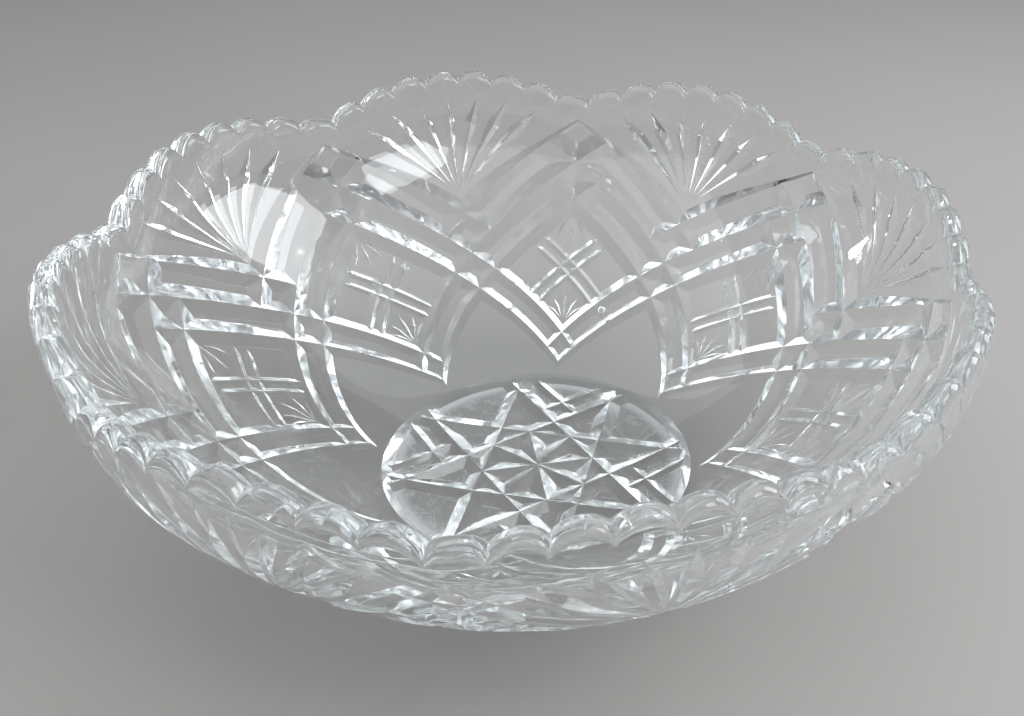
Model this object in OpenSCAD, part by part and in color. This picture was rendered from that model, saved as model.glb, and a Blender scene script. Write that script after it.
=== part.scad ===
// Bowl of clear pressed glass: a spherical wall on a flat star-cut foot. Diamonds, fans and
// a lattice of V grooves are pressed in the outside, and the upright rim ends in a row of round
// teeth in eight lobes. The glass is one pressing; each node is the region that one mould part forms.
// Angles round the bowl start at +X. Polar angles start at the lowest point of the wall sphere.

/* [Bowl] */
// outside radius of the spherical wall
wall_r = 121.4; // [110:0.2:135]
// thickness of the wall
wall_t = 5.5; // [4.5:0.1:8]
// height of the flat inside floor above the table
floor_h = 8; // [7:0.1:10]
// radius of the inside curve between floor and wall
floor_blend_r = 60; // [45:1:75]

/* [Foot] */
// radius of the flat that stands on the table
foot_r = 39.6; // [34:0.2:41]
// radius of the foot where it meets the wall
foot_top_r = 42; // [41:0.2:46]
// height of the foot's bevel
foot_bevel_h = 3.7; // [2.6:0.1:5]
// turn of the foot's star against the diamonds
star_turn = -6; // [-22:0.5:22]
// distance of the star's octagon lines from the centre
star_line_r = 13.8; // [11:0.1:16]
// half width of the octagon's grooves
star_half_w = 3.4; // [2.5:0.1:3.8]
// half width of the star's eight rays
ray_half_w = 3.6; // [2.5:0.1:4]
// distance of the outer chevron lines from the centre
chevron_r = 20.9; // [19:0.1:24]
// half width of the outer chevron grooves
chevron_half_w = 2.2; // [1.5:0.1:3]
// stop of a chevron's end before the middle of the groove it runs into
chevron_end = 0.5; // [0.3:0.1:1]
// depth of a foot groove for its half width
star_depth_share = 0.52; // [0.3:0.02:0.6]

/* [Lattice] */
// number of diamonds round the bowl
diamonds = 8; // [8:4:12]
// polar angle of the lattice's lowest points
lattice_low_a = 22; // [21:0.1:24]
// rise of a groove over one diamond's width
lattice_rise_a = 27.8; // [24:0.1:30]
// step between neighbouring grooves
lattice_step_a = 5.8; // [5:0.1:6.5]
// step from the middle groove up to a fan's border
border_step_a = 6.4; // [5.5:0.1:7]
// half width of a lattice groove
groove_half_w = 1.6; // [1:0.1:2]
// depth of a lattice groove
groove_depth = 1.2; // [0.6:0.1:2]
// stop of a groove's end before the middle of the groove it runs into
groove_end_a = 0.35; // [0.2:0.05:0.6]

/* [Diamond] */
// half the step between the two close lines of a diamond's cross
cross_half_step_a = 1.25; // [0.8:0.05:1.6]
// half width of a cross line
cross_half_w = 0.8; // [0.5:0.05:1.1]
// depth of a cross line
cross_depth = 0.7; // [0.4:0.05:1]
// share of the upper way to the frame that a cross line covers
cross_reach_share = 0.78; // [0.5:0.02:0.95]
// length of a sprig's middle stroke
sprig_len_a = 4.8; // [3:0.1:6]
// room between a diamond's corner and its sprig
sprig_gap_a = 2.2; // [1.5:0.1:3]
// half width of a sprig's stroke
sprig_half_w = 0.7; // [0.4:0.05:1]
// depth of a sprig's stroke
sprig_depth = 0.55; // [0.3:0.05:0.9]

/* [Fan] */
// polar angle of the point that the blades spread from
fan_root_a = 52.4; // [51:0.1:54]
// polar angle of the middle blade's tip
fan_tip_a = 65.6; // [63:0.1:67]
// drop of the outermost blade's tip below the middle one
fan_drop_a = 2.4; // [1:0.1:4]
// step round the bowl between two blades' tips
blade_step_a = 5; // [4:0.1:5.4]
// half width of a blade
blade_half_w = 1.9; // [1.2:0.1:2.4]
// depth of a blade
blade_depth = 1.5; // [0.8:0.1:2]
// share of a blade's length where it is deepest
blade_deep_share = 0.72; // [0.5:0.02:0.85]

/* [Rim] */
// height of the lowest tooth's crest, over a diamond, above the rim's lower edge
rim_low_h = 8; // [7:0.1:10]
// rise of the highest tooth's crest, over a fan
lobe_rise = 8.2; // [4:0.1:10]
// number of teeth in one lobe
lobe_teeth = 8; // [8:2:10]
// radius of a tooth's round crest
tooth_r = 6; // [5.8:0.1:7]

/* [Hidden] */
$fn = 120;
panel_a = 360 / diamonds;
quarter_a = 90;
eighth_a = quarter_a / 2;
leaf_fans = diamonds / 4;
tooth_a = panel_a / lobe_teeth;
seam_a = tooth_a / 2;
cut_over = 2;
reach_share = 1.5;
sprig_side_share = 0.72;
sprig_spread_share = 0.6;
sprig_root_a = 0.35;
blade_root_share = 0.1;
ray_reach = star_line_r / cos(eighth_a / 2);
slope_share = lattice_rise_a / panel_a;
in_r = wall_r - wall_t;
wall_centre_h = foot_bevel_h + sqrt(pow(wall_r, 2) - pow(foot_top_r, 2));
blend_h = floor_h + floor_blend_r;
blend_x = sqrt(pow(in_r - floor_blend_r, 2) - pow(wall_centre_h - blend_h, 2));
blend_dir = [blend_x, blend_h - wall_centre_h] / (in_r - floor_blend_r);
base_top_h = blend_h - sqrt(pow(floor_blend_r, 2) - pow(foot_top_r - blend_x, 2)) + cut_over;
room = 2 * wall_r;
diamond_low_a = lattice_low_a + lattice_step_a;
diamond_top_a = lattice_low_a + lattice_rise_a;
diamond_mid_a = (diamond_low_a + diamond_top_a) / 2;
node_low_a = lattice_low_a + lattice_rise_a / 2;
node_top_a = node_low_a + lattice_step_a;
fan_low_a = node_top_a + border_step_a;
lattice_top_a = diamond_top_a + lattice_step_a + border_step_a;
rim_r = wall_r * sin(lattice_top_a);
rim_in_r = rim_r - wall_t;
rim_join_h = wall_centre_h - wall_r * cos(lattice_top_a) + groove_half_w;
step_run_a = lattice_step_a / slope_share / 2;
border_run_a = border_step_a / slope_share / 2;

// unit direction on the wall sphere from polar angle and angle round the bowl
function dir(th, ph) = [sin(th) * cos(ph), sin(th) * sin(ph), -cos(th)];
function unit(v) = v / norm(v);
// distance from the sphere's centre to the outside, on the sphere or on the upright rim
function out_r(v) = min(wall_r, rim_r / norm([v[0], v[1]]));
function turn_of(v, b, c) = atan2(v * [-sin(c), cos(c), 0],
                                  v * [cos(b) * cos(c), cos(b) * sin(c), -sin(b)]);
function wrap(a) = a - 360 * floor((a + 180) / 360);

// V groove round the sphere on the line that rises by slope from polar angle th0 at ph0,
// drawn from run a1 to run a2 on either side of ph0
module groove(th0, ph0, slope, a1, a2) {
    p1 = dir(th0 - slope * panel_a / 2, ph0 - panel_a / 2);
    p2 = dir(th0, ph0);
    p3 = dir(th0 + slope * panel_a / 2, ph0 + panel_a / 2);
    n = unit(cross(p2 - p1, p3 - p1));
    rho = acos(n * p2);
    b = acos(n[2]);
    c = atan2(n[1], n[0]);
    t1 = turn_of(dir(th0 + slope * a1, ph0 + a1), b, c);
    t2 = turn_of(dir(th0 + slope * a2, ph0 + a2), b, c);
    sweep = wrap(t2 - t1);
    out = [sin(rho), cos(rho)];
    side = [cos(rho), -sin(rho)];
    wide = groove_half_w * (groove_depth + cut_over) / groove_depth;
    translate([0, 0, wall_centre_h]) rotate([0, b, c])
        rotate([0, 0, sweep > 0 ? t1 : t2]) rotate_extrude(angle = abs(sweep))
            polygon([(wall_r - groove_depth) * out,
                     (wall_r + cut_over) * out + wide * side,
                     (wall_r + cut_over) * out - wide * side]);
}

// pointed cut in the outside from end to end, deepest at a share of its length
module lancet(end1, end2, half_w, depth, deep_share) {
    d1 = dir(end1[0], end1[1]);
    d2 = dir(end2[0], end2[1]);
    e1 = out_r(d1) * d1;
    e2 = out_r(d2) * d2;
    up = unit(e1 + (e2 - e1) * deep_share);
    side = unit(cross(up, e2 - e1));
    up_r = out_r(up);
    deep = (up_r - depth) * up;
    ring = [for (p = [e1, up_r * up + half_w * side, e2, up_r * up - half_w * side])
            deep + reach_share * (p - deep)];
    translate([0, 0, wall_centre_h])
        polyhedron(points = concat([deep], ring, [(up_r + cut_over + wall_t) * up]),
                   faces = [[5, 1, 2], [5, 2, 3], [5, 3, 4], [5, 4, 1],
                            [0, 2, 1], [0, 3, 2], [0, 4, 3], [0, 1, 4]]);
}

// the six lattice grooves that meet below the fan at angle ph
module lattice(ph) {
    half = panel_a / 2;
    runs = [[node_top_a, -half - step_run_a, half + border_run_a],
            [node_low_a, -half, half + step_run_a],
            [fan_low_a, -border_run_a, half]];
    for (s = [1, -1]) for (r = runs)
        groove(r[0], ph, s * slope_share, s * (r[1] + groove_end_a), s * (r[2] - groove_end_a));
}

// the cross of paired lines and the two sprigs inside the diamond at angle ph
module diamond_cut(ph) {
    for (s = [1, -1]) for (t = [1, -1]) {
        mid = diamond_mid_a + t * cross_half_step_a;
        down = (mid - diamond_low_a) / slope_share / 2 - groove_end_a;
        up = (diamond_top_a - mid) / slope_share / 2 * cross_reach_share;
        lancet([mid - slope_share * down, ph - s * down], [mid + slope_share * up, ph + s * up],
               cross_half_w, cross_depth, down / (down + up));
    }
    for (k = [-1, 0, 1]) {
        low = diamond_low_a + sprig_gap_a;
        top = diamond_top_a - sprig_gap_a;
        far = sprig_len_a * (k == 0 ? 1 : sprig_side_share);
        root = ph + k * sprig_root_a;
        tip = ph + k * sprig_len_a * sprig_spread_share;
        lancet([low, root], [low + far, tip], sprig_half_w, sprig_depth, blade_deep_share);
        lancet([top, root], [top - far, tip], sprig_half_w, sprig_depth, blade_deep_share);
    }
}

// the seven blades of the fan at angle ph
module fan_cut(ph) {
    blades_side = 3;
    for (k = [-blades_side : blades_side]) {
        drop = fan_drop_a * pow(k / blades_side, 2);
        root = [fan_root_a, ph + k * blade_step_a * blade_root_share];
        tip = [fan_tip_a - drop, ph + k * blade_step_a];
        lancet(root, tip, blade_half_w, blade_depth, blade_deep_share);
    }
}

// straight V groove in the foot at distance r from the centre, from x1 to x2 along it
module foot_groove(r, x1, x2, half_w) {
    depth = star_depth_share * half_w;
    wide = half_w * (depth + cut_over) / depth;
    translate([x1, r, 0]) rotate([90, 0, 90])
        linear_extrude(height = x2 - x1)
            polygon([[0, depth], [-wide, -cut_over], [wide, -cut_over]]);
}

// smooth inside of the bowl: flat floor, blend, sphere and upright rim
module hollow() {
    rotate_extrude() union() {
        intersection() {
            translate([0, wall_centre_h]) circle(r = in_r);
            square([rim_in_r, room]);
            polygon([[0, wall_centre_h], [0, wall_centre_h] + room * blend_dir, [room, room], [0, room]]);
        }
        intersection() {
            translate([blend_x, blend_h]) circle(r = floor_blend_r);
            translate([blend_x, 0]) square([room, blend_h]);
        }
        polygon([[0, floor_h], [blend_x, floor_h], [blend_x + floor_blend_r / 2, blend_h], [0, room]]);
    }
}

// one quarter of space, seam to seam
module quarter(z1, z2) {
    rotate([0, 0, seam_a]) translate([0, 0, z1]) cube([room, room, z2 - z1]);
}

// outside of wall and rim, with neither pattern nor teeth
module outside() {
    intersection() {
        translate([0, 0, wall_centre_h]) sphere(r = wall_r);
        cylinder(r = rim_r, h = room);
    }
}

module wall_quarter() {
    difference() {
        intersection() {
            outside();
            quarter(0, rim_join_h);
        }
        hollow();
        translate([0, 0, -cut_over]) cylinder(r = foot_top_r, h = room);
        for (k = [-1 : leaf_fans]) lattice((k + 0.5) * panel_a);
        for (k = [0 : leaf_fans]) diamond_cut(k * panel_a);
        leaf_fan_cuts();
    }
}

module leaf_fan_cuts() {
    for (k = [0 : leaf_fans - 1]) fan_cut((k + 0.5) * panel_a);
}

// height of tooth k's crest, counted from a diamond
function crest_h(k) = rim_join_h + rim_low_h + lobe_rise * abs(sin(k * tooth_a * diamonds / 2));

module rim_quarter() {
    half_w = tan(tooth_a / 2) * wall_r;
    difference() {
        intersection() {
            outside();
            quarter(rim_join_h, room);
            union() for (k = [0 : leaf_fans * lobe_teeth + 1]) rotate([0, 0, k * tooth_a]) {
                axle_h = crest_h(k) - tooth_r;
                translate([in_r / 2, 0, axle_h]) rotate([0, 90, 0]) cylinder(r = tooth_r, h = in_r);
                if (axle_h > rim_join_h)
                    translate([in_r / 2, -half_w, rim_join_h - cut_over])
                        cube([in_r, 2 * half_w, axle_h - rim_join_h + cut_over]);
            }
        }
        hollow();
        leaf_fan_cuts();
    }
}

module base_medallion() {
    color("LightSteelBlue") difference() {
        union() {
            cylinder(r1 = foot_r, r2 = foot_top_r, h = foot_bevel_h);
            translate([0, 0, foot_bevel_h]) cylinder(r = foot_top_r, h = base_top_h - foot_bevel_h);
        }
        hollow();
        rotate([0, 0, star_turn]) {
            for (k = [0 : 7]) rotate([0, 0, k * eighth_a])
                foot_groove(star_line_r, -foot_top_r, foot_top_r, star_half_w);
            for (k = [0 : 3]) rotate([0, 0, (k + 0.5) * eighth_a])
                foot_groove(0, -ray_reach, ray_reach, ray_half_w);
            for (k = [0 : 3]) for (s = [0, 1]) rotate([0, 0, (k + 0.5) * quarter_a]) mirror([s, 0, 0])
                foot_groove(chevron_r, star_line_r + chevron_end, foot_top_r, chevron_half_w);
        }
    }
}

module wall_leaf_1() { color("Lavender") wall_quarter(); }
module wall_leaf_2() { color("AliceBlue") rotate([0, 0, quarter_a]) wall_quarter(); }
module wall_leaf_3() { color("Lavender") rotate([0, 0, 2 * quarter_a]) wall_quarter(); }
module wall_leaf_4() { color("AliceBlue") rotate([0, 0, 3 * quarter_a]) wall_quarter(); }
module rim_leaf_1() { color("PowderBlue") rim_quarter(); }
module rim_leaf_2() { color("LightCyan") rotate([0, 0, quarter_a]) rim_quarter(); }
module rim_leaf_3() { color("PowderBlue") rotate([0, 0, 2 * quarter_a]) rim_quarter(); }
module rim_leaf_4() { color("LightCyan") rotate([0, 0, 3 * quarter_a]) rim_quarter(); }

base_medallion();
wall_leaf_1();
wall_leaf_2();
wall_leaf_3();
wall_leaf_4();
rim_leaf_1();
rim_leaf_2();
rim_leaf_3();
rim_leaf_4();
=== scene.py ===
"""Bowl of clear pressed glass: one closed mesh with its pressed pattern, on a pale floor."""
import bpy
import math
import numpy as np
from mathutils import Matrix, Vector
from mathutils.geometry import delaunay_2d_cdt
from mathutils.kdtree import KDTree


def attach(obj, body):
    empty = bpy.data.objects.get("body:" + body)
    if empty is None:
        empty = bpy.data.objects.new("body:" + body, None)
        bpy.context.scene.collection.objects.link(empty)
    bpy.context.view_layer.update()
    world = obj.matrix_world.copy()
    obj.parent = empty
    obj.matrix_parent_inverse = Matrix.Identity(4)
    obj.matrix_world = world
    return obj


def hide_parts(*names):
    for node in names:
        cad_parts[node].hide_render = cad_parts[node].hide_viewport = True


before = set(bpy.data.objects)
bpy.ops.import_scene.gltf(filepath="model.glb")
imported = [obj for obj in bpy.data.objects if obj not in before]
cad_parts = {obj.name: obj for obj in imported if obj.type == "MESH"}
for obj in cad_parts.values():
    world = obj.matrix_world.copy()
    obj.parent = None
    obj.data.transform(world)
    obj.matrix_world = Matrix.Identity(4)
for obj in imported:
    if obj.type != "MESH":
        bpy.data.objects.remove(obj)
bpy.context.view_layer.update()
MM = 0.001

# Sizes of the glass in millimetres and degrees, as in the solids. Polar angles start at the
# lowest point of the wall's sphere, angles round the bowl start at +X, where a diamond is.
WALL_R, WALL_T = 121.4, 5.5
FLOOR_H, BLEND_R = 8.0, 60.0
FOOT_R, FOOT_TOP_R, BEVEL_H = 39.6, 42.0, 3.7
RIM_R, LOBE_OUT, RIM_BEND = 105.4, 2.4, 5.0
CREST_LOW, CREST_RISE, TOOTH_R, BEAD = 70.2, 8.2, 6.4, 2.6
PANELS, TEETH, TEETH_TURN = 8, 8, 0.8
PANEL = 360.0 / PANELS
PITCH = PANEL / TEETH
FAN = PANEL / 2
LOW, RISE, STEP, BORDER = 22.0, 27.8, 5.8, 6.4
SLOPE = RISE / PANEL
# rounding of the edges of cuts: degrees on the wall, millimetres on the foot
WALL_EDGE, FOOT_EDGE = 0.09, 0.16

CENTRE_H = BEVEL_H + math.sqrt(WALL_R ** 2 - FOOT_TOP_R ** 2)
IN_R = WALL_R - WALL_T
BLEND_H = FLOOR_H + BLEND_R
BLEND_X = math.sqrt((IN_R - BLEND_R) ** 2 - (CENTRE_H - BLEND_H) ** 2)
BLEND_A = math.degrees(math.asin(BLEND_X / (IN_R - BLEND_R)))
FOOT_A = math.degrees(math.asin(FOOT_TOP_R / WALL_R))


# Smooth surfaces of the bowl ---------------------------------------------------------------

def soft_min(a, b, k):
    h = np.clip(0.5 + 0.5 * (b - a) / k, 0, 1)
    return b + (a - b) * h - k * h * (1 - h)


def lobe(ph):
    """0 over a diamond, 1 over a fan, with a soft notch."""
    soft = 0.12
    s = np.sin(np.radians(ph * PANELS / 2))
    return (np.sqrt(s * s + soft ** 2) - soft) / (math.sqrt(1 + soft ** 2) - soft)


def outer_rho(ph, th):
    return soft_min(WALL_R, (RIM_R + LOBE_OUT * lobe(ph)) / np.sin(np.radians(th)), RIM_BEND)


def inner_rho(ph, th):
    return soft_min(IN_R, (RIM_R - WALL_T + LOBE_OUT * lobe(ph)) / np.sin(np.radians(th)), RIM_BEND)


def place(ph, th, rho):
    p, t = np.radians(ph), np.radians(th)
    return np.stack([rho * np.sin(t) * np.cos(p), rho * np.sin(t) * np.sin(p),
                     CENTRE_H - rho * np.cos(t)], -1)


def unit(v):
    return v / np.linalg.norm(v, axis=-1, keepdims=True)


def normal_of(ph, th, rho, d_ph, d_th):
    """Outward normal of the surface rho(ph, th) from its slopes per degree."""
    p, t = np.radians(ph), np.radians(th)
    sp, cp, st, ct = np.sin(p), np.cos(p), np.sin(t), np.cos(t)
    out = np.stack([st * cp, st * sp, -ct], -1)
    up = np.stack([ct * cp, ct * sp, st], -1)
    side = np.stack([-sp, cp, 0 * p], -1)
    deg = 180 / math.pi
    return unit(out - (d_th * deg / rho)[..., None] * up
                - (d_ph * deg / (rho * st))[..., None] * side)


def slopes(rho_of, ph, th):
    e = 0.02
    return ((rho_of(ph + e, th) - rho_of(ph - e, th)) / (2 * e),
            (rho_of(ph, th + e) - rho_of(ph, th - e)) / (2 * e))


def at_height(rho_of, ph, z):
    """Polar angle and distance from the axis of the surface at height z, near the rim."""
    r = np.full(np.shape(ph), RIM_R)
    for _ in range(30):
        th = np.degrees(np.arctan2(r, CENTRE_H - z))
        r = rho_of(ph, th) * np.sin(np.radians(th))
    return th, r


# Pressed cuts: facets that are linear in the plane of the unrolled surface -------------------

def clip(poly, a, b, c):
    """The part of a polygon where a x + b y + c is not negative."""
    out = []
    for p, q in zip(poly, poly[1:] + poly[:1]):
        dp, dq = a * p[0] + b * p[1] + c, a * q[0] + b * q[1] + c
        if dp >= 0:
            out.append(p)
        if dp * dq < 0:
            t = dp / (dp - dq)
            out.append((p[0] + t * (q[0] - p[0]), p[1] + t * (q[1] - p[1])))
    return out


def signed_area(poly):
    return 0.5 * sum(p[0] * q[1] - p[1] * q[0] for p, q in zip(poly, poly[1:] + poly[:1]))


def area(poly):
    return abs(signed_area(poly))


def turn_of(poly):
    return 1 if signed_area(poly) > 0 else -1


# smaller facets, overlaps of facets and lines are left out
MIN_FACET, MIN_OVERLAP, MIN_LINE = 1e-4, 1e-5, 1e-4


class Cuts:
    """A set of V cuts, each a few flat facets; the deepest facet shows."""

    def __init__(self, box, edge, step):
        self.box = box
        self.edge = edge
        self.step = step
        self.facets = []

    def add(self, p0, p1, half_w, depth, stops, metric=1.0, clips=()):
        """A cut from p0 to p1; stops give its share of width and depth along the way."""
        ex, ey = (p1[0] - p0[0]) * metric, p1[1] - p0[1]
        size = math.hypot(ex, ey)
        ux, uy = ex / size, ey / size
        tx, ty = metric * ux / size, uy / size
        lx, ly = -metric * uy, ux
        t0, l0 = -(p0[0] * tx + p0[1] * ty), -(p0[0] * lx + p0[1] * ly)
        edge = self.edge / half_w
        for i, ((ta, sa), (tb, sb)) in enumerate(zip(stops, stops[1:])):
            rate = (sb - sa) / (tb - ta)
            for side in (1, -1):
                cx, cy = rate * tx - side * lx / half_w, rate * ty - side * ly / half_w
                c0 = sa + rate * (t0 - ta) - side * l0 / half_w
                poly = clip(self.box, side * lx, side * ly, side * l0)
                if i > 0 or sa > 0:
                    poly = clip(poly, tx, ty, t0 - ta)
                if i < len(stops) - 2 or sb > 0:
                    poly = clip(poly, -tx, -ty, tb - t0)
                poly = clip(poly, cx, cy, c0 + edge)
                for c in clips:
                    poly = clip(poly, *c)
                if len(poly) > 2 and area(poly) > MIN_FACET:
                    self.facets.append((cx, cy, c0, depth, poly, edge))

    def lines(self):
        """Edges of the facets, of their rounded borders, and the creases between facets."""
        segs = []
        for cx, cy, c0, _, poly, edge in self.facets:
            segs += list(zip(poly, poly[1:] + poly[:1]))
            segs += cross(poly, cx, cy, c0) + cross(poly, cx, cy, c0 - edge)
        boxes = [(min(p[0] for p in f[4]), max(p[0] for p in f[4]),
                  min(p[1] for p in f[4]), max(p[1] for p in f[4])) for f in self.facets]
        for i, f in enumerate(self.facets):
            for j in range(i):
                a, b = boxes[i], boxes[j]
                if a[0] >= b[1] or b[0] >= a[1] or a[2] >= b[3] or b[2] >= a[3]:
                    continue
                g = self.facets[j]
                both = common(f[4], g[4])
                if len(both) > 2 and area(both) > MIN_OVERLAP:
                    segs += cross(both, *(f[3] * f[n] - g[3] * g[n] for n in range(3)))
        return split_up([s for s in segs if math.dist(*s) > MIN_LINE], self.step)

    def depth_at(self, x, y, slack=1e-4):
        """Depth and number of the deepest facet; -1 is the bare surface."""
        best, which = np.zeros(len(x)), np.full(len(x), -1)
        for n, (cx, cy, c0, depth, poly, edge) in enumerate(self.facets):
            inside = np.ones(len(x), bool)
            turn = turn_of(poly)
            for p, q in zip(poly, poly[1:] + poly[:1]):
                dx, dy = q[0] - p[0], q[1] - p[1]
                size = math.hypot(dx, dy)
                if size > 1e-7:
                    inside &= turn * (dx * (y - p[1]) - dy * (x - p[0])) / size > -slack
            d = np.where(inside, depth * ramp(c0 + cx * x + cy * y, edge), 0)
            more = d > best + 1e-9
            best[more], which[more] = d[more], n
        return best, which

    def slope_at(self, which, x, y):
        """Slopes of depth at points, on the facet given for each; zero on the bare surface."""
        c = np.array([(*f[:4], f[5]) for f in self.facets] + [(0, 0, -1, 0, 0.1)])[which]
        rate = c[..., 3] * ramp_rate(c[..., 2] + c[..., 0] * x + c[..., 1] * y, c[..., 4])
        return rate * c[..., 0], rate * c[..., 1]


def split_up(segs, step):
    """The same lines in pieces no longer than step, so that they follow the curved wall."""
    out = []
    for p, q in segs:
        n = max(1, math.ceil(math.dist(p, q) / step))
        pts = [(p[0] + (q[0] - p[0]) * i / n, p[1] + (q[1] - p[1]) * i / n) for i in range(1, n)]
        pts = [p] + pts + [q]
        out += list(zip(pts, pts[1:]))
    return out


def cross(poly, a, b, c):
    """Piece of the line a x + b y + c = 0 inside a convex polygon."""
    size = math.hypot(a, b)
    if size < 1e-9:
        return []
    hits = []
    for p, q in zip(poly, poly[1:] + poly[:1]):
        dp, dq = (a * p[0] + b * p[1] + c) / size, (a * q[0] + b * q[1] + c) / size
        if abs(dp) < 1e-6:
            hits.append(p)
        elif dp * dq < 0 and abs(dq) > 1e-6:
            t = dp / (dp - dq)
            hits.append((p[0] + t * (q[0] - p[0]), p[1] + t * (q[1] - p[1])))
    if len(hits) < 2:
        return []
    ends = max(((p, q) for p in hits for q in hits), key=lambda e: math.dist(*e))
    return [ends]


def common(poly, other):
    """The part that two convex polygons share."""
    turn = turn_of(other)
    for p, q in zip(other, other[1:] + other[:1]):
        if len(poly) < 3:
            return []
        dx, dy = (q[0] - p[0]) * turn, (q[1] - p[1]) * turn
        poly = clip(poly, -dy, dx, dy * p[0] - dx * p[1])
    return poly


def ramp(y, edge):
    """Share of depth with a rounded edge: zero, then a short curve, then the facet."""
    return np.where(y > edge, y, np.where(y > -edge, (y + edge) ** 2 / (4 * edge), 0))


def ramp_rate(y, edge):
    return np.where(y > edge, 1, np.where(y > -edge, (y + edge) / (2 * edge), 0))


def triangulate(points, segs, grid, gap):
    """Triangles whose edges follow the segments, with grid points away from them."""
    verts = [tuple(p) for p in points]
    edges = []
    for p, q in segs:
        edges.append((len(verts), len(verts) + 1))
        verts += [p, q]
    s = np.array([(*p, *q) for p, q in segs])
    for g in grid:
        d = s[:, 2:] - s[:, :2]
        t = np.clip(((g - s[:, :2]) * d).sum(1) / np.maximum((d * d).sum(1), 1e-12), 0, 1)
        if np.hypot(*(s[:, :2] + t[:, None] * d - g).T).min() > gap:
            verts.append(tuple(g))
    res = delaunay_2d_cdt([Vector(v) for v in verts], edges, [], 0, 1e-5, True)
    xy = np.array([tuple(v) for v in res[0]], float)
    for i, orig in enumerate(res[3]):
        if orig:
            xy[i] = verts[orig[0]]
    tri = np.array(res[2])
    a, b, c = xy[tri[:, 0]], xy[tri[:, 1]], xy[tri[:, 2]]
    turn = (b[:, 0] - a[:, 0]) * (c[:, 1] - a[:, 1]) - (b[:, 1] - a[:, 1]) * (c[:, 0] - a[:, 0])
    tri[turn < 0] = tri[turn < 0][:, ::-1]
    index = {}
    for i, orig in enumerate(res[3]):
        for o in orig:
            index[o] = i
    return xy, tri[np.abs(turn) > 1e-9], index


# The wall's pattern on one panel, from diamond to diamond ----------------------------------

PANEL_TOP, WALL_LINE = 76, 0.8
wall = Cuts([(0, FOOT_A), (PANEL, FOOT_A), (PANEL, PANEL_TOP), (0, PANEL_TOP)], WALL_EDGE, WALL_LINE)


def mirrored(p):
    return (PANEL - p[0], p[1])


def both_sides(p0, p1, half_w, depth, stops, metric=1.0, clips=()):
    wall.add(p0, p1, half_w, depth, stops, metric, clips)
    wall.add(mirrored(p0), mirrored(p1), half_w, depth, stops, metric,
             [(-a, b, c + a * PANEL) for a, b, c in clips])


FULL = ((0, 1), (1, 1))
LEAN = math.cos(math.atan(SLOPE))
TOP = LOW + RISE
low_2, top_2, top_3 = LOW + STEP, TOP + STEP, TOP + STEP + BORDER


GROOVE_W, GROOVE_WIDENS, GROOVE_W_AT = 1.6, 0.055, 29


def groove_w(th):
    """Half width of a lattice groove up the wall, in degrees: wider towards the rim."""
    return GROOVE_W + GROOVE_WIDENS * (th - GROOVE_W_AT)


# depth of a groove for its half width, and how far a line runs past the panel's edge
DEPTH_SHARE = 0.8
REACH = 9
# the lowest line bends at the fan's middle, so that its tip stands a little higher
KNEE, TIP = LOW + RISE / 2, 22.6
LOW_SLOPE = (KNEE - TIP) / FAN


def groove(start, slope, from_ph, to_ph, shares=None, clips=()):
    """A lattice line rising from start at the diamond, with its mirror image."""
    p0, p1 = (from_ph, start + from_ph * slope), (to_ph, start + to_ph * slope)
    stops = shares or ((0, groove_w(p0[1])), (1, groove_w(p1[1])))
    both_sides(p0, p1, LEAN, DEPTH_SHARE, stops, clips=clips)


groove(low_2, SLOPE, -REACH, PANEL + REACH)
groove(top_2, SLOPE, -REACH, FAN, clips=((-SLOPE, -1, top_3),))
groove(low_2 - RISE, SLOPE, FAN, PANEL + REACH,
       clips=((LOW_SLOPE, 1, -TIP - PANEL * LOW_SLOPE),))
groove(TIP, LOW_SLOPE, -REACH, FAN + REACH, clips=((-1, 0, FAN),))
groove(LOW, SLOPE, FAN - REACH, PANEL + REACH, clips=((1, 0, -FAN),))
groove(TOP, SLOPE, -REACH, FAN, clips=((-SLOPE, -1, top_2),))
# the fan's border is thinner where it meets the next diamond
BORDER_W, BORDER_THIN, BORDER_WIDE_TO = 2.3, 0.45, 28
border_end = PANEL + REACH
groove(top_3 - RISE, SLOPE, 0.0, border_end,
       ((0, BORDER_W), (BORDER_WIDE_TO / border_end, BORDER_W),
        (PANEL / border_end, BORDER_THIN), (1, BORDER_THIN)), ((SLOPE, 1, -top_2),))

# cross of paired lines
CROSS_W, CROSS_D = 0.85 * LEAN, 0.75
CROSS_STEP, CROSS_REACH, CROSS_END = 1.25, 0.77, 1.2
for mid in ((low_2 + TOP) / 2 - CROSS_STEP, (low_2 + TOP) / 2 + CROSS_STEP):
    far = CROSS_REACH * (TOP - mid) / SLOPE / 2
    both_sides((-REACH, mid - REACH * SLOPE), (far, mid + far * SLOPE), CROSS_W, CROSS_D,
               ((0, 1), (1 - CROSS_END / (far + REACH), 1), (1, 0)))
    both_sides((-REACH, mid + REACH * SLOPE), (PANEL / 2, mid - PANEL / 2 * SLOPE), CROSS_W, CROSS_D,
               FULL, clips=((-SLOPE, 1, -low_2),))

# sprigs of five strokes in the upper and lower corners
LANCET = ((0, 0), (0.62, 1), (1, 0))
SPRIG_GAP, SPRIG_MIDDLE, SPRIG_W, SPRIG_D = 2.1, 2.5, 0.34, 0.55
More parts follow.
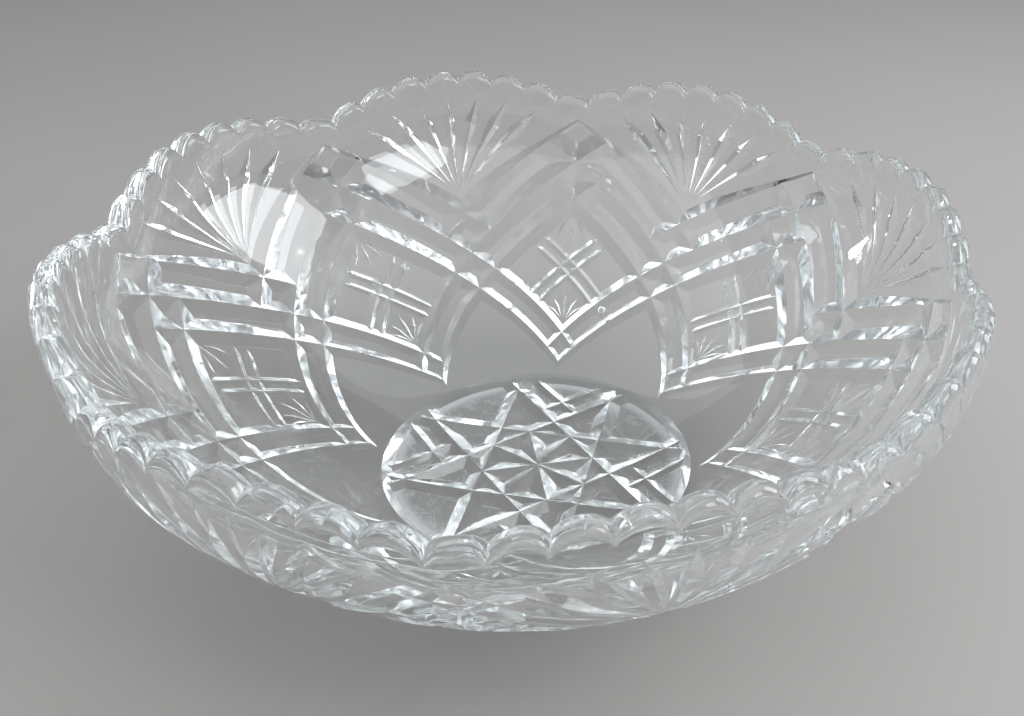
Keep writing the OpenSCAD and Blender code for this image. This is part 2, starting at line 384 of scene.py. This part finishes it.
# number of the stroke, its length and how far its tip stands aside
STROKES = ((-2, 2.7, 5.0), (-1, 4.0, 3.3), (0, 4.9, 0.0), (1, 4.0, 3.3), (2, 2.7, 5.0))
ROOT_ASIDE, ROOT_UP = 0.25, 0.2
for root, sign in ((TOP - SPRIG_GAP, -1), (low_2 + SPRIG_GAP, 1)):
    metric = math.sin(math.radians(root + sign * SPRIG_MIDDLE))
    for k, length, spread in STROKES:
        k_sign = (k > 0) - (k < 0)
        both_sides((ROOT_ASIDE * k, root + sign * ROOT_UP * abs(k)),
                   (k_sign * spread, root + sign * length), SPRIG_W, SPRIG_D, LANCET, metric)

# fan of seven blades
BLADE = ((0, 0), (0.74, 1), (1, 0))
BLADE_W, BLADE_D, BLADE_STEP, BLADE_ROOT_STEP = 0.95, 1.55, 5, 0.45
FAN_ROOT, FAN_MIDDLE = 52.3, 58
BLADE_TIPS = ((-3, 63.3), (-2, 64.7), (-1, 65.4), (0, 65.7), (1, 65.4), (2, 64.7), (3, 63.3))
for k, tip in BLADE_TIPS:
    wall.add((FAN + BLADE_ROOT_STEP * k, FAN_ROOT), (FAN + BLADE_STEP * k, tip), BLADE_W, BLADE_D,
             BLADE, math.sin(math.radians(FAN_MIDDLE)))


# The rim's teeth ---------------------------------------------------------------------------

NOTCH_SOFT, ROUND_SHARE, FLANK = 0.06, 0.97, 4


def tooth_z(k, ph):
    """Height of tooth k's round crest at angle ph, with straight flanks below the round."""
    mid = np.asarray(k) * PITCH + TEETH_TURN
    line = np.sqrt(np.sin(np.radians(ph * PANELS / 2)) ** 2 + NOTCH_SOFT ** 2)
    x = np.radians(ph - mid) * RIM_R
    near = ROUND_SHARE * TOOTH_R
    low = math.sqrt(TOOTH_R ** 2 - near ** 2)
    drop = TOOTH_R - np.where(np.abs(x) < near, np.sqrt(np.maximum(TOOTH_R ** 2 - x * x, 0)),
                              low - FLANK * (np.abs(x) - near))
    return CREST_LOW + CREST_RISE * line - drop


def valley(k):
    """Angle where tooth k meets the next one."""
    a, b = k * PITCH + TEETH_TURN, (k + 1) * PITCH + TEETH_TURN
    for _ in range(40):
        m = (a + b) / 2
        a, b = (m, b) if tooth_z(k, m) > tooth_z(k + 1, m) else (a, m)
    return (a + b) / 2


CUTS_PER_TOOTH, EDGE_ROOM = 12, 0.05
rim_ph = []
for k in range(-1, TEETH + 1):
    for i in range(CUTS_PER_TOOTH):
        ph = valley(k - 1) + (valley(k) - valley(k - 1)) * i / CUTS_PER_TOOTH
        if EDGE_ROOM < ph < PANEL - EDGE_ROOM:
            rim_ph.append(ph)
rim_ph = np.array([0.0] + rim_ph + [PANEL])
spans = (rim_ph[1:] + rim_ph[:-1]) / 2
rim_tooth = np.array([max(range(-1, TEETH + 2), key=lambda k: float(tooth_z(k, m)))
                      for m in spans])


def crest(ph):
    return np.max([tooth_z(k, ph) for k in range(-1, TEETH + 2)], axis=0)


def bead(ph, psi, k):
    """Round top of tooth k: psi 0 is the outside, 180 the inside."""
    z = tooth_z(k, ph) - BEAD
    r_out, r_in = at_height(outer_rho, ph, z)[1], at_height(inner_rho, ph, z)[1]
    s, c = np.sin(np.radians(psi)), np.cos(np.radians(psi))
    r = (r_out + r_in) / 2 + (r_out - r_in) / 2 * c
    p = np.radians(ph)
    return np.stack([r * np.cos(p), r * np.sin(p), z + BEAD * s], -1)


# One closed mesh ---------------------------------------------------------------------------

verts, faces, normals, cut = [], [], [], []


def add_verts(p):
    start = len(verts)
    verts.extend(map(tuple, p))
    return np.arange(start, start + len(p))


def add_faces(index, corner_normals, cut_faces=None):
    faces.extend(index.tolist())
    normals.extend(corner_normals.reshape(-1, 3).tolist())
    cut.extend(np.zeros(len(index)) if cut_faces is None else cut_faces)


def turned(v, deg):
    c, s = math.cos(math.radians(deg)), math.sin(math.radians(deg))
    return v @ np.array([[c, s, 0], [-s, c, 0], [0, 0, 1]])


# wall outside
rim_z = crest(rim_ph) - BEAD
rim_th = at_height(outer_rho, rim_ph, rim_z)[0]
FOOT_STEPS, SIDE_STEPS = 48, 44
foot_ph = np.linspace(0, PANEL, FOOT_STEPS + 1)
points = [(p, FOOT_A) for p in foot_ph] + list(zip(rim_ph, rim_th))
side_th = np.linspace(FOOT_A, rim_th[0], SIDE_STEPS)[1:-1]
points += [(0.0, t) for t in side_th] + [(PANEL, t) for t in side_th]
low_line = [(points[i], points[i + 1]) for i in range(FOOT_STEPS)]
n0 = FOOT_STEPS + 1
top_line = [(points[n0 + i], points[n0 + i + 1]) for i in range(len(rim_ph) - 1)]
side_line = [((x, FOOT_A), (x, rim_th[0])) for x in (0.0, PANEL)]
# rows of points stand closer where the wall turns upright
ROW, CLOSE_ROW, CLOSE_FROM, CLOSE_TO, FIRST_ROW = 1.05, 0.55, 55, 70, 0.8
COLUMN, COLUMN_ROOM, WALL_GAP = 1.4, 0.9, 0.25
rows = np.concatenate([np.arange(FOOT_A + FIRST_ROW, CLOSE_FROM, ROW),
                       np.arange(CLOSE_FROM, CLOSE_TO, CLOSE_ROW)])
grid = [np.array((x + (j % 2) * COLUMN / 2, t)) for j, t in enumerate(rows)
        for x in np.arange(COLUMN / 2, PANEL - COLUMN_ROOM, COLUMN)]
xy, tri, index = triangulate(points, wall.lines() + low_line + top_line + side_line, grid, WALL_GAP)
mid = xy[tri].mean(1)
tri = tri[mid[:, 1] < np.interp(mid[:, 0], rim_ph, rim_th)]
used = np.unique(tri)
left = [i for i in used if xy[i, 0] < 1e-5]
right = [i for i in used if xy[i, 0] > PANEL - 1e-5]
partner = {}
for i in right:
    j = min(left, key=lambda j: abs(xy[j, 1] - xy[i, 1]))
    partner[i] = j
    xy[i] = (PANEL, xy[j, 1])
for j in left:
    xy[j, 0] = 0.0
mid = xy[tri].mean(1)
depth, _ = wall.depth_at(xy[:, 0], xy[:, 1])
for i, j in partner.items():
    depth[i] = depth[j]
_, shown = wall.depth_at(mid[:, 0], mid[:, 1], 0)
rho = outer_rho(xy[:, 0], xy[:, 1])
panel_p = place(xy[:, 0], xy[:, 1], rho - depth)
ph3, th3 = xy[tri][..., 0], xy[tri][..., 1]
d_ph, d_th = slopes(outer_rho, ph3, th3)
c_ph, c_th = wall.slope_at(np.repeat(shown[:, None], 3, 1), ph3, th3)
panel_n = normal_of(ph3, th3, (rho - depth)[tri], d_ph - c_ph, d_th - c_th)
own = [i for i in used if i not in partner]
maps = []
for k in range(PANELS):
    m = np.full(len(xy), -1)
    m[own] = add_verts(turned(panel_p[own], k * PANEL))
    maps.append(m)
for k in range(PANELS):
    for i, j in partner.items():
        maps[k][i] = maps[(k + 1) % PANELS][j]
    add_faces(maps[k][tri], turned(panel_n, k * PANEL), shown >= 0)

# rim beads, columns round the whole bowl
ROUND = (0, 14, 32, 52, 72, 90, 108, 128, 148, 166, 180)
cols = len(rim_ph) - 1
outer_ring = np.concatenate([maps[k][[index[n0 + i] for i in range(cols)]] for k in range(PANELS)])
rings = [outer_ring]
for psi in ROUND[1:]:
    p = bead(rim_ph[:-1], psi, rim_tooth)
    rings.append(np.concatenate([add_verts(turned(p, k * PANEL)) for k in range(PANELS)]))


def bead_normal(ph, psi, k):
    e = 0.02
    a = bead(ph + e, psi, k) - bead(ph - e, psi, k)
    b = bead(ph, psi + 0.5, k) - bead(ph, psi - 0.5, k)
    return unit(np.cross(a, b))


for m in range(len(ROUND) - 1):
    quads = np.stack([bead_normal(rim_ph[:-1], ROUND[m], rim_tooth),
                      bead_normal(rim_ph[1:], ROUND[m], rim_tooth),
                      bead_normal(rim_ph[1:], ROUND[m + 1], rim_tooth),
                      bead_normal(rim_ph[:-1], ROUND[m + 1], rim_tooth)], 1)
    a = np.arange(cols * PANELS)
    b = (a + 1) % (cols * PANELS)
    f = np.stack([rings[m][a], rings[m][b], rings[m + 1][b], rings[m + 1][a]], 1)
    add_faces(f, np.concatenate([turned(quads, k * PANEL) for k in range(PANELS)]))

# inside: wall down to the blend, blend, floor
all_ph = np.concatenate([rim_ph[:-1] + k * PANEL for k in range(PANELS)])
in_th = np.tile(at_height(inner_rho, rim_ph, rim_z)[0][:-1], PANELS)


def inner_normal(ph, th):
    d_ph, d_th = slopes(inner_rho, ph, th)
    return -normal_of(ph, th, inner_rho(ph, th), d_ph, d_th)


# rings of the wall stand closer towards the rim
WALL_RINGS, BLEND_RINGS, RING_POWER = 18, 7, 1.3
in_rings, in_normals = [rings[-1]], [inner_normal(all_ph, in_th)]
for i in range(1, WALL_RINGS + 1):
    th = in_th + (BLEND_A - in_th) * (i / WALL_RINGS) ** RING_POWER
    in_rings.append(add_verts(place(all_ph, th, inner_rho(all_ph, th))))
    in_normals.append(inner_normal(all_ph, th))
p = np.radians(all_ph)
for i in range(1, BLEND_RINGS + 1):
    a = math.radians(BLEND_A) * (1 - i / BLEND_RINGS)
    r, z = BLEND_X + BLEND_R * math.sin(a), BLEND_H - BLEND_R * math.cos(a)
    in_rings.append(add_verts(np.stack([r * np.cos(p), r * np.sin(p), 0 * p + z], -1)))
    in_normals.append(np.stack([-math.sin(a) * np.cos(p), -math.sin(a) * np.sin(p),
                                0 * p + math.cos(a)], -1))
a = np.arange(len(all_ph))
b = (a + 1) % len(all_ph)
for i in range(len(in_rings) - 1):
    f = np.stack([in_rings[i][a], in_rings[i][b], in_rings[i + 1][b], in_rings[i + 1][a]], 1)
    n = np.stack([in_normals[i][a], in_normals[i][b], in_normals[i + 1][b], in_normals[i + 1][a]], 1)
    add_faces(f, n)
floor_xy = [(BLEND_X * math.cos(t), BLEND_X * math.sin(t)) for t in p]
# share of the floor's radius and number of points of each ring
FLOOR_RINGS = ((0.975, 384), (0.93, 192), (0.85, 96), (0.7, 64), (0.5, 40), (0.25, 20), (0, 1))
FLOOR_GAP = 0.05
ring_xy = [np.array((BLEND_X * s * math.cos(2 * math.pi * i / n + s),
                     BLEND_X * s * math.sin(2 * math.pi * i / n + s)))
           for s, n in FLOOR_RINGS for i in range(n)]
floor_edge = [(floor_xy[i], floor_xy[(i + 1) % len(p)]) for i in range(len(p))]
fxy, ftri, findex = triangulate(floor_xy, floor_edge, ring_xy, FLOOR_GAP)
m = np.full(len(fxy), -1)
for i in range(len(p)):
    m[findex[i]] = in_rings[-1][i]
new = np.where(m < 0)[0]
m[new] = add_verts(np.column_stack([fxy[new], np.full(len(new), FLOOR_H)]))
add_faces(m[ftri], np.tile((0.0, 0.0, 1.0), (len(ftri), 3, 1)))

# underside of the foot: star, octagon and chevrons
STAR_TURN, STAR_R, CHEVRON_R = -6.0, 13.8, 20.9
STAR_W, STAR_D, RAY_W, CHEVRON_W, CHEVRON_D = 3.4, 1.77, 3.6, 2.2, 1.15
FOOT_LINE, FOOT_GRID, FOOT_GAP, FOOT_ROOM, EDGE_GAP = 4.0, 1.6, 0.3, 0.4, 0.02
STAR_REACH, CHEVRON_REACH, BEVEL_ROWS = 50, 60, 5
size = FOOT_TOP_R + 1
foot = Cuts([(-size, -size), (size, -size), (size, size), (-size, size)], FOOT_EDGE, FOOT_LINE)


def star_cut(turn, r, x0, x1, half_w, depth, flip=1):
    """A straight cut at distance r from the middle, from x0 to x1 along it."""
    c, s = math.cos(math.radians(turn + STAR_TURN)), math.sin(math.radians(turn + STAR_TURN))
    ends = [(flip * x * c - r * s, flip * x * s + r * c) for x in (x0, x1)]
    foot.add(ends[0], ends[1], half_w, depth, FULL)


for k in range(8):
    star_cut(45 * k, STAR_R, -STAR_REACH, STAR_REACH, STAR_W, STAR_D)
ray = STAR_R / math.cos(math.radians(22.5))
for k in range(4):
    star_cut(45 * k + 22.5, 0, -ray, ray, RAY_W, STAR_D)
    for flip in (1, -1):
        star_cut(90 * k + 45, CHEVRON_R, STAR_R, CHEVRON_REACH, CHEVRON_W, CHEVRON_D, flip)
edge_a = np.radians(np.concatenate([foot_ph[:-1] + k * PANEL for k in range(PANELS)]))
edge_xy = [(FOOT_TOP_R * math.cos(t), FOOT_TOP_R * math.sin(t)) for t in edge_a]
bevel_xy = [(FOOT_R * math.cos(t), FOOT_R * math.sin(t)) for t in edge_a]
n_edge = len(edge_a)
segs = [(edge_xy[i], edge_xy[(i + 1) % n_edge]) for i in range(n_edge)]
segs += [(bevel_xy[i], bevel_xy[(i + 1) % n_edge]) for i in range(n_edge)]
steps = np.arange(-FOOT_TOP_R, FOOT_TOP_R, FOOT_GRID)
grid = [np.array((x, y)) for x in steps for y in steps if math.hypot(x, y) < FOOT_R - FOOT_ROOM]
grid += [np.array((r * math.cos(t), r * math.sin(t)))
         for r in np.linspace(FOOT_R, FOOT_TOP_R, BEVEL_ROWS)[1:-1] for t in edge_a]
# the lines of the cuts end just inside the foot's edge
kept = []
for p0, p1 in foot.lines():
    d = np.subtract(p1, p0)
    a2, b2, c2 = d @ d, 2 * np.dot(p0, d), np.dot(p0, p0) - (FOOT_TOP_R - EDGE_GAP) ** 2
    disc = b2 * b2 - 4 * a2 * c2
    if disc > 0:
        t0, t1 = max(0, (-b2 - disc ** 0.5) / (2 * a2)), min(1, (-b2 + disc ** 0.5) / (2 * a2))
        if t1 - t0 > MIN_LINE:
            kept.append((tuple(p0 + t0 * d), tuple(p0 + t1 * d)))
bxy, btri, bindex = triangulate(edge_xy, segs + kept, grid, FOOT_GAP)
mid = bxy[btri].mean(1)
btri = btri[np.hypot(*mid.T) < FOOT_TOP_R]
mid = bxy[btri].mean(1)


def bevel_z(x, y):
    return BEVEL_H * np.maximum(np.hypot(x, y) - FOOT_R, 0) / (FOOT_TOP_R - FOOT_R)


cut_z, _ = foot.depth_at(bxy[:, 0], bxy[:, 1])
foot_z = np.maximum(cut_z, bevel_z(bxy[:, 0], bxy[:, 1]))
mid_z, shown = foot.depth_at(mid[:, 0], mid[:, 1], 0)
on_bevel = bevel_z(mid[:, 0], mid[:, 1]) > mid_z
x3, y3 = bxy[btri][..., 0], bxy[btri][..., 1]
g_x, g_y = foot.slope_at(np.repeat(shown[:, None], 3, 1), x3, y3)
r3 = np.maximum(np.hypot(x3, y3), 1e-6)
tilt = BEVEL_H / (FOOT_TOP_R - FOOT_R)
g_x = np.where(on_bevel[:, None], tilt * x3 / r3, g_x)
g_y = np.where(on_bevel[:, None], tilt * y3 / r3, g_y)
foot_n = unit(np.stack([g_x, g_y, np.full_like(g_x, -1)], -1))
m = np.full(len(bxy), -1)
for i in range(n_edge):
    k, j = divmod(i, FOOT_STEPS)
    m[bindex[i]] = maps[k][index[j]]
new = np.array([i for i in np.unique(btri) if m[i] < 0])
m[new] = add_verts(np.column_stack([bxy[new], foot_z[new]]))
add_faces(m[btri][:, ::-1], foot_n[:, ::-1], (shown >= 0) | on_bevel)

# bubbles caught in the wall: angle, polar angle, radius. Their faces look inwards.
BUBBLES = ((79.2, 32.0, 1.35), (57.0, 47.5, 0.5), (66.0, 61.0, 0.45), (128.0, 41.0, 0.4))
LATITUDES, LONGITUDE_STEP = 13, 15
lats = np.radians(np.linspace(-90, 90, LATITUDES))
lons = np.radians(np.arange(0, 360, LONGITUDE_STEP))
for ph, th, r in BUBBLES:
    balls = [np.array([(0.0, 0.0, -1.0)])]
    balls += [np.stack([np.cos(t) * np.cos(lons), np.cos(t) * np.sin(lons), 0 * lons + np.sin(t)], -1)
              for t in lats[1:-1]]
    balls += [np.array([(0.0, 0.0, 1.0)])]
    centre = place(np.array(ph), np.array(th), np.array(WALL_R - WALL_T / 2))
    ids = [add_verts(centre + r * q) for q in balls]
    a = np.arange(len(lons))
    b = (a + 1) % len(lons)
    for i in range(1, len(ids) - 2):
        f = np.stack([ids[i][a], ids[i + 1][a], ids[i + 1][b], ids[i][b]], 1)
        add_faces(f, -np.stack([balls[i][a], balls[i + 1][a], balls[i + 1][b], balls[i][b]], 1))
    for pole, i, f in ((0, 1, (b, a)), (-1, -2, (a, b))):
        tip_id, tip_n = np.full(len(a), ids[pole][0]), np.tile(balls[pole], (len(a), 1))
        x, y = f
        add_faces(np.stack([tip_id, ids[i][y], ids[i][x]], 1),
                  -np.stack([tip_n, balls[i][y], balls[i][x]], 1))

# points closer than this are one point, so that no needle-thin face is left
SAME = 0.002
tree = KDTree(len(verts))
for i, v in enumerate(verts):
    tree.insert(v, i)
tree.balance()
root = np.arange(len(verts))
for i, v in enumerate(verts):
    root[i] = min(root[j] for _, j, _ in tree.find_range(v, SAME))
held, point = np.unique(root, return_inverse=True)
verts = [verts[i] for i in held]
old, faces, old_normals, normals, old_cut, cut = faces, [], normals, [], cut, []
at = 0
for f, c in zip(old, old_cut):
    ids = [int(point[i]) for i in f]
    if len(set(ids)) == len(ids):
        faces.append(ids)
        normals += old_normals[at:at + len(f)]
        cut.append(c)
    at += len(f)

mesh = bpy.data.meshes.new("bowl_glass")
mesh.from_pydata([(x * MM, y * MM, z * MM) for x, y, z in verts], [], faces)
mesh.polygons.foreach_set("use_smooth", [True] * len(faces))
mesh.update()
mesh.normals_split_custom_set(normals)
mesh.attributes.new("cut", "FLOAT", "FACE").data.foreach_set("value", np.array(cut, float))
bowl = bpy.data.objects.new("bowl_glass", mesh)
bpy.context.scene.collection.objects.link(bowl)


# Materials ---------------------------------------------------------------------------------

def material(name):
    m = bpy.data.materials.new(name)
    m.use_nodes = True
    m.node_tree.nodes.clear()
    out = m.node_tree.nodes.new("ShaderNodeOutputMaterial")
    return m, m.node_tree.nodes, m.node_tree.links, out


def node(nodes, kind, **values):
    n = nodes.new("ShaderNode" + kind)
    for key, value in values.items():
        n.inputs[key.replace("_", " ")].default_value = value
    return n


glass, nodes, links, out = material("clear_glass")
sh = node(nodes, "BsdfPrincipled", Base_Color=(0.99, 1, 0.995, 1), Transmission_Weight=1, IOR=1.51)
where = node(nodes, "TexCoord")
wave = node(nodes, "TexNoise", Scale=55, Detail=2)
links.new(where.outputs["Object"], wave.inputs["Vector"])
bump = node(nodes, "Bump", Strength=0.07, Distance=0.002)
links.new(wave.outputs["Fac"], bump.inputs["Height"])
links.new(bump.outputs["Normal"], sh.inputs["Normal"])
haze = node(nodes, "TexNoise", Scale=40, Detail=6)
links.new(where.outputs["Object"], haze.inputs["Vector"])
smooth = node(nodes, "MapRange", From_Min=0.45, From_Max=0.8, To_Min=0, To_Max=0.02)
links.new(haze.outputs["Fac"], smooth.inputs["Value"])
# pressed facets are duller and mottled
mottle = node(nodes, "TexNoise", Scale=420, Detail=4, Roughness=0.65)
links.new(where.outputs["Object"], mottle.inputs["Vector"])
dull = node(nodes, "MapRange", From_Min=0.35, From_Max=0.7, To_Min=0.02, To_Max=0.1)
links.new(mottle.outputs["Fac"], dull.inputs["Value"])
is_cut = nodes.new("ShaderNodeAttribute")
is_cut.attribute_name = "cut"
rough = node(nodes, "Mix")
links.new(is_cut.outputs["Fac"], rough.inputs["Factor"])
links.new(smooth.outputs["Result"], rough.inputs["A"])
links.new(dull.outputs["Result"], rough.inputs["B"])
# the foot is scuffed where it stands
split = node(nodes, "SeparateXYZ")
links.new(where.outputs["Object"], split.inputs["Vector"])
stands = node(nodes, "MapRange", From_Min=0.0003, From_Max=0.0001, To_Min=0, To_Max=1)
links.new(split.outputs["Z"], stands.inputs["Value"])
scuff = node(nodes, "TexNoise", Scale=1400, Detail=4)
links.new(where.outputs["Object"], scuff.inputs["Vector"])
wear = node(nodes, "MapRange", From_Min=0.45, From_Max=0.7, To_Min=0.02, To_Max=0.3)
links.new(scuff.outputs["Fac"], wear.inputs["Value"])
mix = node(nodes, "Mix")
links.new(stands.outputs["Result"], mix.inputs["Factor"])
links.new(rough.outputs["Result"], mix.inputs["A"])
links.new(wear.outputs["Result"], mix.inputs["B"])
links.new(mix.outputs["Result"], sh.inputs["Roughness"])
# scuffs and scratches under the foot are not clear
flat = node(nodes, "VectorMath")
flat.operation = "MULTIPLY"
flat.inputs[1].default_value = (1, 1, 0)
links.new(where.outputs["Object"], flat.inputs[0])
reach = node(nodes, "VectorMath")
reach.operation = "LENGTH"
links.new(flat.outputs["Vector"], reach.inputs[0])
ring = node(nodes, "MapRange", From_Min=0.024, From_Max=0.036, To_Min=0.2, To_Max=1)
links.new(reach.outputs["Value"], ring.inputs["Value"])
low = node(nodes, "MapRange", From_Min=0.0037, From_Max=0.0035, To_Min=0, To_Max=1)
links.new(split.outputs["Z"], low.inputs["Value"])
edge = node(nodes, "MapRange", From_Min=0.0395, From_Max=0.0397, To_Min=0, To_Max=1)
links.new(reach.outputs["Value"], edge.inputs["Value"])


def times(a, b):
    n = nodes.new("ShaderNodeMath")
    n.operation = "MULTIPLY"
    links.new(a, n.inputs[0])
    if isinstance(b, float):
        n.inputs[1].default_value = b
    else:
        links.new(b, n.inputs[1])
    return n.outputs[0]


def larger(a, b):
    n = nodes.new("ShaderNodeMath")
    n.operation = "MAXIMUM"
    links.new(a, n.inputs[0])
    links.new(b, n.inputs[1])
    return n.outputs[0]


blotch = node(nodes, "TexNoise", Scale=230, Detail=6, Roughness=0.7)
links.new(where.outputs["Object"], blotch.inputs["Vector"])
worn = node(nodes, "MapRange", From_Min=0.36, From_Max=0.68, To_Min=0, To_Max=0.75)
links.new(blotch.outputs["Fac"], worn.inputs["Value"])
scuffs = times(times(worn.outputs["Result"], ring.outputs["Result"]), stands.outputs["Result"])
bevel_wear = times(times(edge.outputs["Result"], low.outputs["Result"]), 0.1)
band = node(nodes, "MapRange", From_Min=0.0345, From_Max=0.0385, To_Min=0, To_Max=0.85)
links.new(reach.outputs["Value"], band.inputs["Value"])
bevel_wear = larger(bevel_wear, times(band.outputs["Result"], stands.outputs["Result"]))
scratches = None
for turn, scale in ((0.4, 70), (1.7, 55), (2.7, 85)):
    way = node(nodes, "Mapping", Rotation=(0, 0, turn))
    links.new(where.outputs["Object"], way.inputs["Vector"])
    lines = node(nodes, "TexWave", Scale=scale, Distortion=9, Detail=2, Detail_Scale=0.6)
    links.new(way.outputs["Vector"], lines.inputs["Vector"])
    thin = node(nodes, "MapRange", From_Min=0.985, From_Max=0.999, To_Min=0, To_Max=0.8)
    links.new(lines.outputs["Fac"], thin.inputs["Value"])
    some = node(nodes, "TexNoise", Scale=90 + scale, Detail=1)
    links.new(way.outputs["Vector"], some.inputs["Vector"])
    here = node(nodes, "MapRange", From_Min=0.52, From_Max=0.6, To_Min=0, To_Max=1)
    links.new(some.outputs["Fac"], here.inputs["Value"])
    one = times(thin.outputs["Result"], here.outputs["Result"])
    scratches = one if scratches is None else larger(scratches, one)
scuffs = larger(larger(scuffs, bevel_wear), times(scratches, stands.outputs["Result"]))
clear = node(nodes, "MapRange", From_Min=0, From_Max=1, To_Min=1, To_Max=0)
links.new(scuffs, clear.inputs["Value"])
links.new(clear.outputs["Result"], sh.inputs["Transmission Weight"])
links.new(sh.outputs["BSDF"], out.inputs["Surface"])
tint = node(nodes, "VolumeAbsorption", Color=(0.88, 0.945, 0.95, 1), Density=5)
links.new(tint.outputs["Volume"], out.inputs["Volume"])
mesh.materials.append(glass)

floor_mat, nodes, links, out = material("pale_floor")
sh = node(nodes, "BsdfPrincipled", Roughness=0.75)
where = node(nodes, "TexCoord")
grain = node(nodes, "TexNoise", Scale=9, Detail=5)
links.new(where.outputs["Object"], grain.inputs["Vector"])
shade = node(nodes, "Mix")
shade.data_type = "RGBA"
shade.inputs["A"].default_value = (0.365, 0.35, 0.333, 1)
shade.inputs["B"].default_value = (0.395, 0.38, 0.362, 1)
links.new(grain.outputs["Fac"], shade.inputs["Factor"])
links.new(shade.outputs["Result"], sh.inputs["Base Color"])
links.new(sh.outputs["BSDF"], out.inputs["Surface"])


# Stage, light and camera -------------------------------------------------------------------

# half the floor's width, and its room below the foot
half, FLOOR_ROOM = 3.0, 0.0002
floor_mesh = bpy.data.meshes.new("floor")
floor_mesh.from_pydata([(-half, -half, 0), (half, -half, 0), (half, half, 0), (-half, half, 0)], [],
                       [(0, 1, 2, 3)])
floor_mesh.materials.append(floor_mat)
floor = bpy.data.objects.new("floor", floor_mesh)
floor.location.z = -FLOOR_ROOM
bpy.context.scene.collection.objects.link(floor)

world = bpy.data.worlds.new("studio")
bpy.context.scene.world = world
world.use_nodes = True
back = world.node_tree.nodes["Background"]
coord = world.node_tree.nodes.new("ShaderNodeTexCoord")
split = world.node_tree.nodes.new("ShaderNodeSeparateXYZ")
level = world.node_tree.nodes.new("ShaderNodeValToRGB")
level.color_ramp.elements[0].position = 0.05
level.color_ramp.elements[0].color = (0.31, 0.31, 0.315, 1)
level.color_ramp.elements[1].position = 0.7
level.color_ramp.elements[1].color = (0.36, 0.37, 0.39, 1)
world.node_tree.links.new(coord.outputs["Generated"], split.inputs["Vector"])
world.node_tree.links.new(split.outputs["Z"], level.inputs["Fac"])
world.node_tree.links.new(level.outputs["Color"], back.inputs["Color"])
back.inputs["Strength"].default_value = 1


def softbox(name, at, target, width, height, power, colour):
    data = bpy.data.lights.new(name, "AREA")
    data.shape = "RECTANGLE"
    data.size, data.size_y = width, height
    data.energy = power
    data.color = colour
    lamp = bpy.data.objects.new(name, data)
    lamp.location = at
    lamp.visible_camera = False
    lamp.rotation_euler = (Vector(target) - Vector(at)).to_track_quat("-Z", "Y").to_euler()
    bpy.context.scene.collection.objects.link(lamp)


middle = (0, 0, 0.05)
DAYLIGHT, PALE_DAYLIGHT, WHITE = (0.93, 0.96, 1.0), (0.95, 0.975, 1.0), (1.0, 1.0, 1.0)
softbox("window", (0.70, 0.21, 0.43), middle, 0.32, 0.5, 3.2, DAYLIGHT)
softbox("second_window", (0.53, -0.36, 0.56), middle, 0.32, 0.3, 1.8, DAYLIGHT)
softbox("small_lamp", (-0.71, 0.34, 0.353), middle, 0.025, 0.07, 0.08, WHITE)
softbox("overhead", (0, 0, 0.5), (0, 0, 0), 0.8, 0.8, 2.15, PALE_DAYLIGHT)

# camera fitted to the photograph: target, distance, elevation, heading, roll, lens and shift
IMAGE_W, IMAGE_H = 1024, 716
FOCAL_PX, AXIS_X, AXIS_Y = 1146.2, 653.9, 356.8
FIT_WALL_R, FIT_DISTANCE, FIT_TARGET = 110.9, 264.54, (27.34, 0, 37.7)
SENSOR = 36
SCALE = WALL_R / FIT_WALL_R
elev, roll, heading = math.radians(33.04), math.radians(2.60), math.radians(1.36)
target = Vector(FIT_TARGET) * SCALE * MM
fwd = Vector((0, math.cos(elev), -math.sin(elev)))
right, up = Vector((1, 0, 0)), Vector((0, math.sin(elev), math.cos(elev)))
eye = target - fwd * (FIT_DISTANCE * SCALE * MM)
right, up = (right * math.cos(roll) + up * math.sin(roll),
             up * math.cos(roll) - right * math.sin(roll))
cam_data = bpy.data.cameras.new("camera")
cam_data.sensor_fit = "HORIZONTAL"
cam_data.sensor_width = SENSOR
cam_data.lens = SENSOR * FOCAL_PX / IMAGE_W
cam_data.shift_x = -(AXIS_X - IMAGE_W / 2) / IMAGE_W
cam_data.shift_y = (AXIS_Y - IMAGE_H / 2) / IMAGE_W
cam_data.clip_start = 0.01
camera = bpy.data.objects.new("camera", cam_data)
axes = Matrix((right, up, -fwd)).transposed().to_4x4()
camera.matrix_world = Matrix.Rotation(heading, 4, "Z") @ Matrix.Translation(eye) @ axes
bpy.context.scene.collection.objects.link(camera)
bpy.context.scene.camera = camera
bpy.context.scene.view_settings.view_transform = "Standard"
# light goes round inside thick cut glass many times
cycles = bpy.context.scene.cycles
cycles.max_bounces = cycles.glossy_bounces = cycles.transmission_bounces = 32

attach(bowl, "root")
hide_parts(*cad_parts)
